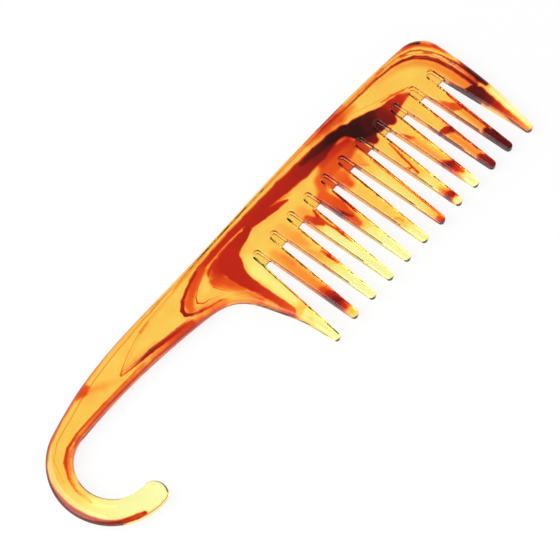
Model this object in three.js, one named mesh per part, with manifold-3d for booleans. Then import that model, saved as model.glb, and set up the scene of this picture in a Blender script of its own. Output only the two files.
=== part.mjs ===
// Wide tooth comb with a hooked handle, one plastic moulding divided into its working regions.
// Millimetres, +Z up. The comb lies flat: +X runs from the hook to the head, the teeth point to -Y.
// While it is built, x = 0 is the inner root of the front guard tooth, y = 0 is the line where the gaps
// between the teeth end, and z = 0 is the middle of the thickness.
import * as THREE from "three";
import { mergeVertices } from "three/addons/utils/BufferGeometryUtils.js";
import Module from "manifold-3d";

const wasm = await Module();
wasm.setup();

// Teeth
const innerToothCount = 10;
const toothPitch = 10.3;
const toothRootWidth = 6.6;
const toothTipWidth = 3.2;
const toothRootThickness = 4.2;
const toothTipThickness = 3.3;
const innerToothLength = 39.6;
const toothEdgeWidth = 1.2;
const toothEdgeDepth = 1.2;
const toothTipRound = 1.8;
const rootFillet = 0.6;

// Guard teeth, one at each end of the row
const guardToothLength = 40.4;
const frontGuardRootWidth = 10.65;
const frontGuardTipWidth = 3.4;
const frontGuardTipOffset = 4.6;
const frontGuardTipLean = 13;
const rearGuardTipWidth = 3;
const rearGuardTipOffset = 4.5;
const rearGuardTipLean = 9;
const rearGuardKneeWidth = 9;
const rearGuardKneeDrop = 21.3;
const rearGuardKneeLean = 19;

// Head: the plate above the teeth
const plateThickness = 5;
const edgeWidth = 1.4;
const edgeDepth = 1.5;
const spineRearHeight = 21.3;
const spineCrownHeight = 22.6;
const spineCrownDistance = 62;
const spineFallAngle = 4.6;
const cornerRadius = 11;
const cornerHeight = 9.7;
const cornerInset = 0.4;
const frontLeanAngle = 2.3;

// Recessed panel on both faces, and the pockets over the gaps
const recessDepth = 0.4;
const recessSlope = 0.7;
const recessSpineInset = 1.9;
const recessJointInset = 2.6;
const recessFrontInset = 4;
const recessCornerRadius = 17;
const recessFlareInset = 3.4;
const recessPointDistance = 37;
const recessPointHeight = 10.7;
const recessPointOpening = 30;
const pocketHeight = 6.8;
const pocketMouthWidth = 3.7;
const pocketTopWidth = 3.3;
const pocketDraft = 0.3;
const webThickness = 1.6;

// Handle and hook
const rearShoulderLength = 30;
const shoulderRise = 2.35;
const shoulderFallAngle = 8;
const handleLength = 64.2;
const handleArchAngle = 4;
const hookInnerRadius = 14.4;
const hookWidth = 10.2;
const hookDrop = 9.3;
const hookTangentAngle = 15;
const hookEndAngle = 272;
const hookEndThickness = 4.6;
const hookEndEdgeDepth = 2.1;
const hookTipRound = 4.6;

// How far a cutting solid runs past the faces that it cuts
const overrun = 5;

// Fineness and unitless shares
const edgeSegments = 3;
const curveSegments = 10;
const toothRingCount = 4;
const tipRingCount = 3;
const tipEndShare = 0.97;
const hookRingCount = 22;
const handleRingCount = 10;
const flowShare = 0.35;
const flareShare = 0.5;
const hookRoundStartShare = 0.15;
const hookRoundEndShare = 0.62;
const hookOuterEdgeShare = 0.6;
const hookInnerEdgeShare = 0.4;

// Sizes that follow
const halfPlate = plateThickness / 2;
const gapRootWidth = toothPitch - toothRootWidth;
const rearGuardRoot = -(innerToothCount * toothPitch + gapRootWidth);
const handleJoint = rearGuardRoot - rearShoulderLength;
const hookCentre = new THREE.Vector2(handleJoint - handleLength, -hookDrop);
const hookOuterRadius = hookInnerRadius + hookWidth;
const recessFloor = halfPlate - recessDepth;

const radians = THREE.MathUtils.degToRad;
const at = (x, y) => new THREE.Vector2(x, y);

// A closed three.js geometry as a manifold solid, and back again
function solidOf(geometry) {
  const bare = geometry.index ? geometry.toNonIndexed() : geometry.clone();
  bare.deleteAttribute("normal");
  bare.deleteAttribute("uv");
  const merged = mergeVertices(bare);
  return new wasm.Manifold(
    new wasm.Mesh({
      numProp: 3,
      vertProperties: merged.getAttribute("position").array,
      triVerts: new Uint32Array(merged.index.array),
    }),
  );
}

function geometryOf(solid) {
  const mesh = solid.getMesh();
  const geometry = new THREE.BufferGeometry();
  geometry.setAttribute("position", new THREE.BufferAttribute(mesh.vertProperties, mesh.numProp));
  geometry.setIndex(new THREE.BufferAttribute(mesh.triVerts, 1));
  const faceted = geometry.toNonIndexed();
  faceted.computeVertexNormals();
  return faceted;
}

// A box between two corners, used to cut solids flat
function block(low, high) {
  const size = new THREE.Vector3().subVectors(high, low);
  const centre = new THREE.Vector3().addVectors(low, high).multiplyScalar(1 / 2);
  const box = new THREE.BoxGeometry(size.x, size.y, size.z);
  return solidOf(box.translate(centre.x, centre.y, centre.z));
}

const reach = handleLength + innerToothCount * toothPitch + hookOuterRadius * 2 + overrun;
const everyX = [-2 * reach, reach];
const everyZ = [-plateThickness, plateThickness];

function slabOf([x0, x1], [y0, y1]) {
  return block(new THREE.Vector3(x0, y0, everyZ[0]), new THREE.Vector3(x1, y1, everyZ[1]));
}

// A curve that leaves one point and reaches another in given directions, in degrees
function flow(from, fromAngle, to, toAngle, share = flowShare) {
  const handle = from.distanceTo(to) * share;
  const out = at(Math.cos(radians(fromAngle)), Math.sin(radians(fromAngle)));
  const back = at(Math.cos(radians(toAngle)), Math.sin(radians(toAngle)));
  const fromHandle = from.clone().addScaledVector(out, handle);
  const toHandle = to.clone().addScaledVector(back, -handle);
  return new THREE.CubicBezierCurve(from, fromHandle, toHandle, to);
}

// The same curve run from its end to its start
function flowBack(curve) {
  return new THREE.CubicBezierCurve(curve.v3, curve.v2, curve.v1, curve.v0);
}

// A round stretch of an outline, in degrees
function arc(centre, radius, startAngle, endAngle) {
  const clockwise = endAngle < startAngle;
  return new THREE.EllipseCurve(
    centre.x,
    centre.y,
    radius,
    radius,
    radians(startAngle),
    radians(endAngle),
    clockwise,
    0,
  );
}

// A shape from curves and corners in order
function outlineOf(pieces) {
  const points = [];
  for (const piece of pieces) {
    const run = piece.isVector2 ? [piece] : piece.getPoints(curveSegments);
    for (const point of run) {
      const last = points[points.length - 1];
      if (!last || last.distanceTo(point) > edgeWidth / curveSegments) points.push(point);
    }
  }
  return new THREE.Shape(points);
}

// Outline curves that neighbouring regions share

const guardTipY = frontGuardTipWidth / 2 - guardToothLength;
const rearTipAxis = rearGuardRoot - rearGuardTipOffset;
const rearTipY = rearGuardTipWidth / 2 - guardToothLength;
const cornerCentre = at(frontGuardRootWidth - cornerInset - cornerRadius, cornerHeight);
const cornerArc = arc(cornerCentre, cornerRadius, 90 - spineFallAngle, frontLeanAngle);
const spineCrown = at(-spineCrownDistance, spineCrownHeight);
const spineRear = at(handleJoint, spineRearHeight);
const shoulder = at(handleJoint, shoulderRise);
const knee = at(rearGuardRoot - rearGuardKneeWidth, -rearGuardKneeDrop);
const rearTipOuter = at(rearTipAxis - rearGuardTipWidth / 2, rearTipY);

const spineRearCurve = flow(spineRear, 0, spineCrown, 0);
const spineFrontCurve = flow(spineCrown, 0, cornerArc.getPoint(0), -spineFallAngle);
const frontTipOuter = at(frontGuardTipOffset + frontGuardTipWidth / 2, guardTipY);
const frontCurve = flow(
  cornerArc.getPoint(1),
  frontLeanAngle - 90,
  frontTipOuter,
  -90 - frontGuardTipLean,
);
const flareCurve = flow(shoulder, -shoulderFallAngle, knee, rearGuardKneeLean - 90, flareShare);
const kneeCurve = flow(knee, rearGuardKneeLean - 90, rearTipOuter, rearGuardTipLean - 90);

const hookTopY = hookCentre.y + hookOuterRadius / Math.cos(radians(hookTangentAngle));
const hookBottomY = hookCentre.y + hookInnerRadius;
const handleTopCurve = flow(at(hookCentre.x, hookTopY), hookTangentAngle, spineRear, 0);
const handleUnderCurve = flow(
  at(hookCentre.x, hookBottomY),
  handleArchAngle,
  shoulder,
  -shoulderFallAngle,
);

// A plate with rounded edges, from an outline, centred on z = 0
function roundedPlate(shape) {
  const geometry = new THREE.ExtrudeGeometry(shape, {
    depth: plateThickness - 2 * edgeDepth,
    bevelThickness: edgeDepth,
    bevelSize: edgeWidth,
    bevelOffset: -edgeWidth,
    bevelSegments: edgeSegments,
  });
  return solidOf(geometry.translate(0, 0, edgeDepth - halfPlate));
}

// A cutter over both faces that leaves a core of the given thickness, with sloping walls
function faceCutters(shape, coreThickness, slope, depth) {
  const geometry = new THREE.ExtrudeGeometry(shape, {
    depth: overrun,
    bevelThickness: depth,
    bevelSize: slope,
    bevelOffset: -slope,
    bevelSegments: 1,
  });
  const upper = geometry.clone().translate(0, 0, coreThickness / 2 + depth);
  const lower = geometry.translate(0, 0, -coreThickness / 2 - depth - overrun);
  return solidOf(upper).add(solidOf(lower));
}

// Recessed panel: it follows the spine, rounds the front corner, fades out on the guard teeth and
// ends in a point on the handle
function recessCutters() {
  const frontX = frontGuardRootWidth - recessFrontInset;
  const bottomY = -innerToothLength / 2;
  const centre = at(
    frontX - recessCornerRadius,
    cornerHeight + cornerRadius - recessSpineInset - recessCornerRadius,
  );
  const corner = arc(centre, recessCornerRadius, 90 - spineFallAngle, 0);
  const point = at(handleJoint - recessPointDistance, recessPointHeight);
  const upperJoint = at(handleJoint, spineRearHeight - recessJointInset);
  const crown = at(spineCrown.x, spineCrownHeight - recessSpineInset);
  const lowerJoint = at(handleJoint, shoulderRise + recessFlareInset);
  const kneeInset = at(knee.x + recessFlareInset, bottomY);
  const shape = outlineOf([
    flow(point, recessPointOpening, upperJoint, shoulderFallAngle),
    flow(upperJoint, shoulderFallAngle, crown, 0),
    flow(crown, 0, corner.getPoint(0), -spineFallAngle),
    corner,
    at(frontX, bottomY),
    flow(
      kneeInset,
      90 + rearGuardKneeLean,
      lowerJoint,
      180 - shoulderFallAngle,
      flareShare,
    ),
    flow(lowerJoint, 180 - shoulderFallAngle, point, 180 - shoulderFallAngle),
  ]);
  return faceCutters(shape, 2 * recessFloor, recessSlope, recessDepth);
}

// Round-topped pocket over one gap, on both faces, that leaves a thin web
function pocketCutters(gapCentre) {
  const topRadius = pocketTopWidth / 2;
  const roundCentre = at(gapCentre, pocketHeight - topRadius);
  const shape = outlineOf([
    at(gapCentre - pocketMouthWidth / 2, -overrun),
    at(gapCentre + pocketMouthWidth / 2, -overrun),
    at(gapCentre + pocketMouthWidth / 2, 0),
    arc(roundCentre, topRadius, 0, 180),
    at(gapCentre - pocketMouthWidth / 2, 0),
  ]);
  return faceCutters(shape, webThickness, pocketDraft, halfPlate - webThickness / 2);
}

function gapCentreOf(index) {
  return -(gapRootWidth / 2 + index * toothPitch);
}

const recess = recessCutters();
const belowRoots = slabOf(everyX, [-reach, 0]);
const aboveRoots = slabOf(everyX, [0, reach]);
const behindJoint = slabOf([everyX[0], handleJoint], [-reach, reach]);

// Head: spine, rounded corner and panel, down to the line where the gaps end
function headSolid() {
  const shape = outlineOf([
    at(handleJoint - overrun, spineRearHeight),
    spineRearCurve,
    spineFrontCurve,
    cornerArc,
    frontCurve,
    flowBack(flareCurve),
    at(handleJoint - overrun, shoulderRise + overrun * Math.tan(radians(shoulderFallAngle))),
  ]);
  let solid = roundedPlate(shape).subtract(recess);
  for (let index = 0; index <= innerToothCount; index += 1)
    solid = solid.subtract(pocketCutters(gapCentreOf(index)));
  return solid.subtract(belowRoots).subtract(behindJoint);
}

// Guard teeth thin towards their tips: a wedge along X that holds each guard tooth
function guardWedge() {
  const halfTip = toothTipThickness / 2;
  const side = new THREE.Shape([
    at(0, -halfPlate),
    at(0, halfPlate),
    at(-guardToothLength, halfTip),
    at(-guardToothLength - overrun, halfTip),
    at(-guardToothLength - overrun, -halfTip),
    at(-guardToothLength, -halfTip),
  ]);
  const geometry = new THREE.ExtrudeGeometry(side, { depth: 2 * reach, bevelEnabled: false });
  geometry.rotateX(Math.PI / 2).rotateZ(Math.PI / 2);
  return solidOf(geometry.translate(-reach, 0, 0));
}

function guardSolid(shape) {
  return roundedPlate(shape).subtract(aboveRoots).intersect(guardWedge()).subtract(recess);
}

function frontGuardSolid() {
  const tipCentre = at(frontGuardTipOffset, guardTipY);
  return guardSolid(
    outlineOf([
      at(0, overrun),
      at(0, 0),
      arc(tipCentre, frontGuardTipWidth / 2, 180, 360),
      flowBack(frontCurve),
    ]),
  );
}

function rearGuardSolid() {
  const tipCentre = at(rearTipAxis, rearTipY);
  return guardSolid(
    outlineOf([
      at(shoulder.x, overrun),
      flareCurve,
      kneeCurve,
      arc(tipCentre, rearGuardTipWidth / 2, 180, 360),
      at(rearGuardRoot, 0),
      at(rearGuardRoot, overrun),
    ]),
  );
}

// Rounded section between an inner and an outer edge: points as shares across the width, with heights
function sectionPoints(width, thickness, innerEdge, outerEdge, edgeDepthHere) {
  const flat = thickness / 2 - edgeDepthHere;
  const quarter = [];
  for (let step = 0; step <= edgeSegments; step += 1) {
    const angle = ((step / edgeSegments) * Math.PI) / 2;
    quarter.push([1 - Math.cos(angle), Math.sin(angle)]);
  }
  const outerTop = quarter.map(([inShare, upShare]) => [
    1 - (outerEdge * inShare) / width,
    flat + edgeDepthHere * upShare,
  ]);
  const innerTop = quarter.map(([inShare, upShare]) => [
    (innerEdge * inShare) / width,
    flat + edgeDepthHere * upShare,
  ]);
  const top = [...outerTop, ...innerTop.reverse()];
  const bottom = top.map(([share, height]) => [share, -height]).reverse();
  return [...top, ...bottom];
}

// A ring in space: the section spans from the inner point to the outer point
function ringBetween(inner, outer, thickness, innerEdge, outerEdge, edgeDepthHere) {
  const width = inner.distanceTo(outer);
  return sectionPoints(width, thickness, innerEdge, outerEdge, edgeDepthHere).map(
    ([share, height]) => {
      const foot = inner.clone().lerp(outer, share);
      return new THREE.Vector3(foot.x, foot.y, height);
    },
  );
}

// A closed loft through rings that have the same number of points
function loft(rings) {
  const count = rings[0].length;
  const positions = rings.flat().flatMap((point) => [point.x, point.y, point.z]);
  const faces = [];
  for (let ring = 0; ring < rings.length - 1; ring += 1) {
    for (let index = 0; index < count; index += 1) {
      const next = (index + 1) % count;
      const a = ring * count + index;
      const b = ring * count + next;
      faces.push(a, a + count, b, b, a + count, b + count);
    }
  }
  const last = (rings.length - 1) * count;
  for (let index = 1; index < count - 1; index += 1) {
    faces.push(0, index, index + 1);
    faces.push(last, last + index + 1, last + index);
  }
  const geometry = new THREE.BufferGeometry();
  geometry.setAttribute("position", new THREE.Float32BufferAttribute(positions, 3));
  geometry.setIndex(faces);
  const solid = solidOf(geometry);
  if (solid.volume() > 0) return solid;
  for (let face = 0; face < faces.length; face += 3)
    [faces[face], faces[face + 1]] = [faces[face + 1], faces[face]];
  geometry.setIndex(faces);
  return solidOf(geometry);
}

// Inner tooth: tapers in width and thickness, flares into its root and ends in a round tip
function toothSolid(axisX) {
  const rings = [];
  const taperLength = innerToothLength - toothTipRound;
  const addRing = (y, width, thickness) => {
    const squeeze = Math.min(1, width / toothTipWidth, thickness / toothTipThickness);
    rings.push(
      ringBetween(
        at(axisX - width / 2, y),
        at(axisX + width / 2, y),
        thickness,
        toothEdgeWidth * squeeze,
        toothEdgeWidth * squeeze,
        toothEdgeDepth * squeeze,
      ),
    );
  };
  for (let step = 0; step < edgeSegments; step += 1) {
    const angle = ((step / edgeSegments) * Math.PI) / 2;
    const flare = rootFillet * (1 - Math.sin(angle));
    addRing(-rootFillet * (1 - Math.cos(angle)), toothRootWidth + 2 * flare, toothRootThickness);
  }
  for (let step = 1; step <= toothRingCount; step += 1) {
    const share = step / toothRingCount;
    addRing(
      -taperLength * share,
      toothRootWidth + (toothTipWidth - toothRootWidth) * share,
      toothRootThickness + (toothTipThickness - toothRootThickness) * share,
    );
  }
  for (let step = 1; step <= tipRingCount; step += 1) {
    const advance = (tipEndShare * step) / tipRingCount;
    const narrow = Math.sqrt(1 - advance * advance);
    addRing(-taperLength - toothTipRound * advance, toothTipWidth * narrow, toothTipThickness * narrow);
  }
  return loft(rings);
}

// Handle: a loft between the top edge and the underside, from the hook to the head
function handleSolid() {
  const rings = [];
  for (let step = 0; step <= handleRingCount; step += 1) {
    const share = step / handleRingCount;
    rings.push(
      ringBetween(
        handleUnderCurve.getPoint(share),
        handleTopCurve.getPoint(share),
        plateThickness,
        edgeWidth,
        edgeWidth,
        edgeDepth,
      ),
    );
  }
  return loft(rings).subtract(recess);
}

// Hook: concentric arcs whose flat face narrows to a point, then a round end
function hookSolid() {
  const rings = [];
  const startAngle = 90;
  const ease = THREE.MathUtils.smoothstep;
  const mix = THREE.MathUtils.lerp;
  for (let step = 0; step <= hookRingCount; step += 1) {
    const share = step / hookRingCount;
    const angle = mix(startAngle, hookEndAngle, share);
    const lead = Math.max(0, startAngle + hookTangentAngle - angle);
    const outerRadius = hookOuterRadius / Math.cos(radians(lead));
    const direction = at(Math.cos(radians(angle)), Math.sin(radians(angle)));
    const round = ease(share, hookRoundStartShare, hookRoundEndShare);
    const width = outerRadius - hookInnerRadius;
    rings.push(
      ringBetween(
        hookCentre.clone().addScaledVector(direction, hookInnerRadius),
        hookCentre.clone().addScaledVector(direction, outerRadius),
        mix(plateThickness, hookEndThickness, round),
        mix(edgeWidth, width * hookInnerEdgeShare, round),
        mix(edgeWidth, width * hookOuterEdgeShare, round),
        mix(edgeDepth, hookEndEdgeDepth, round),
      ),
    );
  }
  const endDirection = at(Math.cos(radians(hookEndAngle)), Math.sin(radians(hookEndAngle)));
  const endTangent = at(-endDirection.y, endDirection.x);
  const middle = hookInnerRadius + hookWidth / 2;
  for (let step = 1; step <= tipRingCount; step += 1) {
    const advance = (tipEndShare * step) / tipRingCount;
    const narrow = Math.sqrt(1 - advance * advance);
    const width = hookWidth * narrow;
    const centre = hookCentre
      .clone()
      .addScaledVector(endDirection, middle)
      .addScaledVector(endTangent, hookTipRound * advance);
    rings.push(
      ringBetween(
        centre.clone().addScaledVector(endDirection, -width / 2),
        centre.clone().addScaledVector(endDirection, width / 2),
        hookEndThickness * narrow,
        width * hookInnerEdgeShare,
        width * hookOuterEdgeShare,
        hookEndEdgeDepth * narrow,
      ),
    );
  }
  return loft(rings);
}

// Clear tortoiseshell plastic: the same finish all over, in the colour that each region mostly shows
function plastic(colour) {
  return new THREE.MeshStandardMaterial({ color: colour, roughness: 0.12, metalness: 0 });
}

const amber = "#f2b548";
const paleAmber = "#f6d970";
const redBrown = "#8f1f10";
const orange = "#e0752a";
const darkRed = "#a83216";
const innerToothColours = [
  darkRed,
  darkRed,
  orange,
  orange,
  amber,
  amber,
  paleAmber,
  paleAmber,
  amber,
  orange,
];

const comb = new THREE.Group();

function addRegion(name, solid, colour) {
  const mesh = new THREE.Mesh(geometryOf(solid), plastic(colour));
  mesh.name = name;
  comb.add(mesh);
}

addRegion("head_panel", headSolid(), redBrown);
addRegion("handle", handleSolid(), amber);
addRegion("hook", hookSolid(), paleAmber);
addRegion("front_guard_tooth", frontGuardSolid(), darkRed);
addRegion("rear_guard_tooth", rearGuardSolid(), orange);
for (let index = 1; index <= innerToothCount; index += 1) {
  const axisX = gapCentreOf(index - 1) - toothPitch / 2;
  const name = "tooth_" + String(index).padStart(2, "0");
  addRegion(name, toothSolid(axisX), innerToothColours[(index - 1) % innerToothColours.length]);
}

// The finished comb rests on its lower face, centred on the origin
const bounds = new THREE.Box3().setFromObject(comb);
const centre = bounds.getCenter(new THREE.Vector3());
comb.position.set(-centre.x, -centre.y, -bounds.min.z);

export default comb;
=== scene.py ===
# Visual model of a hooked wide tooth comb: one clear plastic moulding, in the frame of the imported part.
# It is drawn in millimetres with the comb on its mid-plane, as in the part's source, and brought to
# metres and to its place as the last step of the modelling.
import math

import bpy
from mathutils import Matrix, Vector


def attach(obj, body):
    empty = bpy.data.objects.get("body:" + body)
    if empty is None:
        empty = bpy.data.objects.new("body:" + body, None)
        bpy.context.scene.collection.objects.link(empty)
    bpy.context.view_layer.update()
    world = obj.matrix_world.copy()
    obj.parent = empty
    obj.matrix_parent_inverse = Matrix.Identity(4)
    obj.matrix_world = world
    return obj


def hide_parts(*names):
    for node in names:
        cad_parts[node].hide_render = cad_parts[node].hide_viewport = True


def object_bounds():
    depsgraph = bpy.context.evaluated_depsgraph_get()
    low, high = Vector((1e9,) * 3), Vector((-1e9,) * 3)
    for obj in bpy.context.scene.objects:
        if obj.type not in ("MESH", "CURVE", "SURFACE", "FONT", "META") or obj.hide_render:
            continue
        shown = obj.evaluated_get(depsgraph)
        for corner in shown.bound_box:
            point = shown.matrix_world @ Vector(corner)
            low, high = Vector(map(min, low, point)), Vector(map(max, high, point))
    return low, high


# Teeth, in millimetres
inner_tooth_count = 10
tooth_pitch = 10.3
tooth_root_width = 6.6
tooth_tip_width = 3.2
tooth_root_thickness = 4.2
tooth_tip_thickness = 3.3
inner_tooth_length = 39.6
tooth_edge = 0.55
root_fillet = 1
tooth_overlap = 3
root_arch_rise = 1.4
root_arch_fall = 1.85
root_arch_middle = 57
root_arch_reach = 53

# Guard teeth
guard_tooth_length = 40.4
front_guard_root_width = 10.65
front_guard_tip_width = 3.4
front_guard_tip_offset = 4.6
front_guard_tip_lean = 13
rear_guard_tip_width = 3
rear_guard_tip_offset = 4.5
rear_guard_tip_lean = 9
rear_guard_knee_width = 9
rear_guard_knee_drop = 21.3
rear_guard_knee_lean = 19
guard_edge = 0.6

# Head
plate_thickness = 5
plate_edge = 2
spine_rear_height = 21.3
spine_crown_height = 22.6
spine_crown_distance = 62
spine_fall_angle = 4.6
corner_radius = 11
corner_height = 9.7
corner_inset = 0.4
front_lean_angle = 2.3

# Recessed panel and pockets
recess_depth = 0.4
recess_slope = 0.7
recess_spine_inset = 1.9
recess_joint_inset = 2.6
recess_front_inset = 4
recess_corner_radius = 17
recess_flare_inset = 3.4
recess_point_distance = 37
recess_point_height = 10.7
recess_point_opening = 30
pocket_height = 6.8
pocket_mouth_width = 3.7
pocket_top_width = 3.3
pocket_draft = 0.3
web_thickness = 1.6
web_edge = 0.4
web_overlap = 1.5

# Handle and hook
rear_shoulder_length = 30
shoulder_rise = 2.35
shoulder_fall_angle = 8
handle_length = 64.2
handle_arch_angle = 4
hook_inner_radius = 14.4
hook_width = 10.2
hook_drop = 9.3
hook_tangent_angle = 15
hook_end_angle = 272
hook_end_thickness = 4.6
hook_tip_round = 4.6
hook_overlap = 3

# Fineness
overrun = 5
block_height = 30
block_front = 20
block_rear = 240
block_slack = 0.03
box_share = 0.9995
curve_steps = 16
edge_steps = 5
section_points = 40
tip_steps = 7
mesh_slack = 0.01
weld_distance = 0.0005
hook_ring_spacing = 0.8
skin_grain = 0.26
skin_triangle_share = 0.28
skin_smooth_share = 0.5
skin_smooth_turns = 5
metres = 0.001
flow_share = 0.35
third_share = 1 / 3
flare_share = 0.5
hook_station_shares = (0, 0.08, 0.58, 1)
hook_flat_stations = 2
hook_inner_share = 0.4
hook_tip_end_share = 0.97

# Camera, light and floor
camera_lens = 150
camera_sensor = 36
camera_azimuth = -49.6
camera_elevation = 64.66
camera_distance = 871.8
camera_target = (0.545, 0.9, 2.5)
floor_size = 6
floor_drop = 0.0001
paper_white = "#FFFFFF"
paper_glow_share = 0.85
horizon_strength = 1
overhead_strength = 0.15
horizon_top_share = 0.3
overhead_bottom_share = 0.75
lamp_place = (-0.9, 0.5, 1.2)
lamp_size = 1.8
lamp_power = 30

# The plastic
plastic_ior = 1.5
plastic_roughness = 0.03
plastic_gloss_share = 0.3

# Dye strokes, and strokes of painted shade along edges, rim and panel walls, drawn on a plan of the front in
# millimetres: for each its softness, and its points as x, y, half width and depth of dye, from 0 for the
# palest yellow to 1 for near black. Later strokes lie over earlier ones. The plan's origin is in the
# drawing's millimetres.
plan_origin = (3, -1.6, 0)
hook_and_handle_strokes = [
    # Pale hook
    (7, [(-223.7, -8, 4, 0.2), (-220, -19, 6, 0.08), (-211, -26, 7, 0.02), (-203, -27.5, 8, 0)]),
    # Brown outline along the top
    (0.5, [(-222.5, 9, 0.6, 0.74), (-215, 13.8, 0.6, 0.74), (-205, 17.1, 0.5, 0.72),
        (-190, 20.3, 0.5, 0.7)]),
    (0.5, [(-190, 20.3, 0.5, 0.62), (-175, 22, 0.35, 0.54), (-150, 23.2, 0.3, 0.42)]),
    # Dark rim round the outside of the hook, and the streak that it ends in
    (0.45, [(-221, 10, 0.4, 0.72), (-224.8, 5, 0.8, 0.74), (-227, -1, 1.3, 0.76), (-227.9, -8, 1.7, 0.78),
        (-226.6, -15, 1.7, 0.78), (-223.6, -21, 1.4, 0.79), (-219.4, -25.1, 1.1, 0.8),
        (-214, -28.2, 1, 0.8), (-211.2, -29.2, 0.8, 0.8)]),
    (0.3, [(-219, -25.9, 0.3, 0.68), (-212.4, -28.8, 0.4, 0.64)]),
    # Painted shade: a dark line along the crease of the outer side
    (0.25, [(-222, 0, 0.05, 0.46), (-218, 8.5, 0.08, 0.56), (-212, 12.6, 0.1, 0.6),
        (-195, 16.8, 0.1, 0.62)]),
    (0.25, [(-195, 16.8, 0.1, 0.64), (-185, 18.8, 0.1, 0.64), (-175, 19.9, 0.1, 0.62),
        (-160, 20.9, 0.1, 0.62), (-146, 21.6, 0.1, 0.6), (-130, 22, 0.1, 0.6), (-75, 23, 0.1, 0.62)]),
    # Orange patch near the hook, fading down the handle
    (1.8, [(-190, 17.5, 1, 0.46), (-185, 14.5, 1, 0.4), (-178, 11, 0.8, 0.32)]),
    (0.9, [(-195, 18.6, 0.7, 0.62), (-191.5, 18.4, 1.5, 0.65), (-189.5, 18.8, 1.2, 0.63)]),
    # Warm strip along the inner side
    (0.9, [(-213, 5.4, 0.6, 0.42), (-205, 7.6, 1, 0.44), (-190, 8.2, 1.4, 0.48), (-170, 8, 1.4, 0.5)]),
    (0.9, [(-170, 8, 1.2, 0.52), (-155, 6.8, 1.3, 0.56), (-143, 5, 1.2, 0.56), (-132, 2.6, 1, 0.5)]),
    (0.3, [(-221, -12.4, 0.1, 0.55), (-221.2, -5, 0.25, 0.62), (-219.4, 0, 0.4, 0.68),
        (-215.5, 5, 0.7, 0.72), (-211, 8.2, 0.5, 0.74), (-205, 9.4, 0.3, 0.74), (-190, 9.8, 0.25, 0.72),
        (-178, 9.8, 0.2, 0.68), (-168, 9.6, 0.15, 0.6)]),
    (0.3, [(-211, 6.4, 0.2, 0.62), (-205, 7.7, 0.25, 0.7), (-190, 8.3, 0.25, 0.72), (-165, 7.8, 0.3, 0.7)]),
    (0.3, [(-165, 8, 0.4, 0.72), (-150, 6.2, 0.5, 0.7), (-140, 4.2, 0.4, 0.64), (-132, 2, 0.3, 0.6)]),
    # Red streak behind the point of the panel
    (1.6, [(-176, 12.6, 0.3, 0.42), (-170, 12, 0.8, 0.44), (-160, 11, 1, 0.42)]),
    (1.2, [(-165, 9, 0.4, 0.5), (-155, 8, 1.2, 0.6), (-147, 6.6, 1.4, 0.64), (-141, 5.4, 1, 0.62)]),
    # Painted shade: dark lines along the panel's lower and upper sloped walls, from its point
    (0.3, [(-177.6, 12.4, 0.25, 0.64), (-173, 11.4, 0.2, 0.72), (-168, 10.9, 0.35, 0.82)]),
    (0.4, [(-168, 10.9, 0.35, 0.84), (-163, 10.7, 0.9, 0.84), (-158, 9.9, 0.8, 0.8),
        (-150, 8.4, 0.9, 0.74)]),
    (0.7, [(-150, 8.4, 0.9, 0.74), (-144.5, 7, 0.9, 0.7)]),
    (0.25, [(-177.6, 12.6, 0.25, 0.68), (-174, 14.6, 0.15, 0.66), (-168, 16.8, 0.12, 0.66),
        (-160, 19, 0.12, 0.66)]),
    (0.25, [(-160, 19, 0.12, 0.68), (-150, 19.9, 0.12, 0.66), (-138, 20.6, 0.1, 0.62),
        (-120, 21.6, 0.1, 0.58)]),
]
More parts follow.
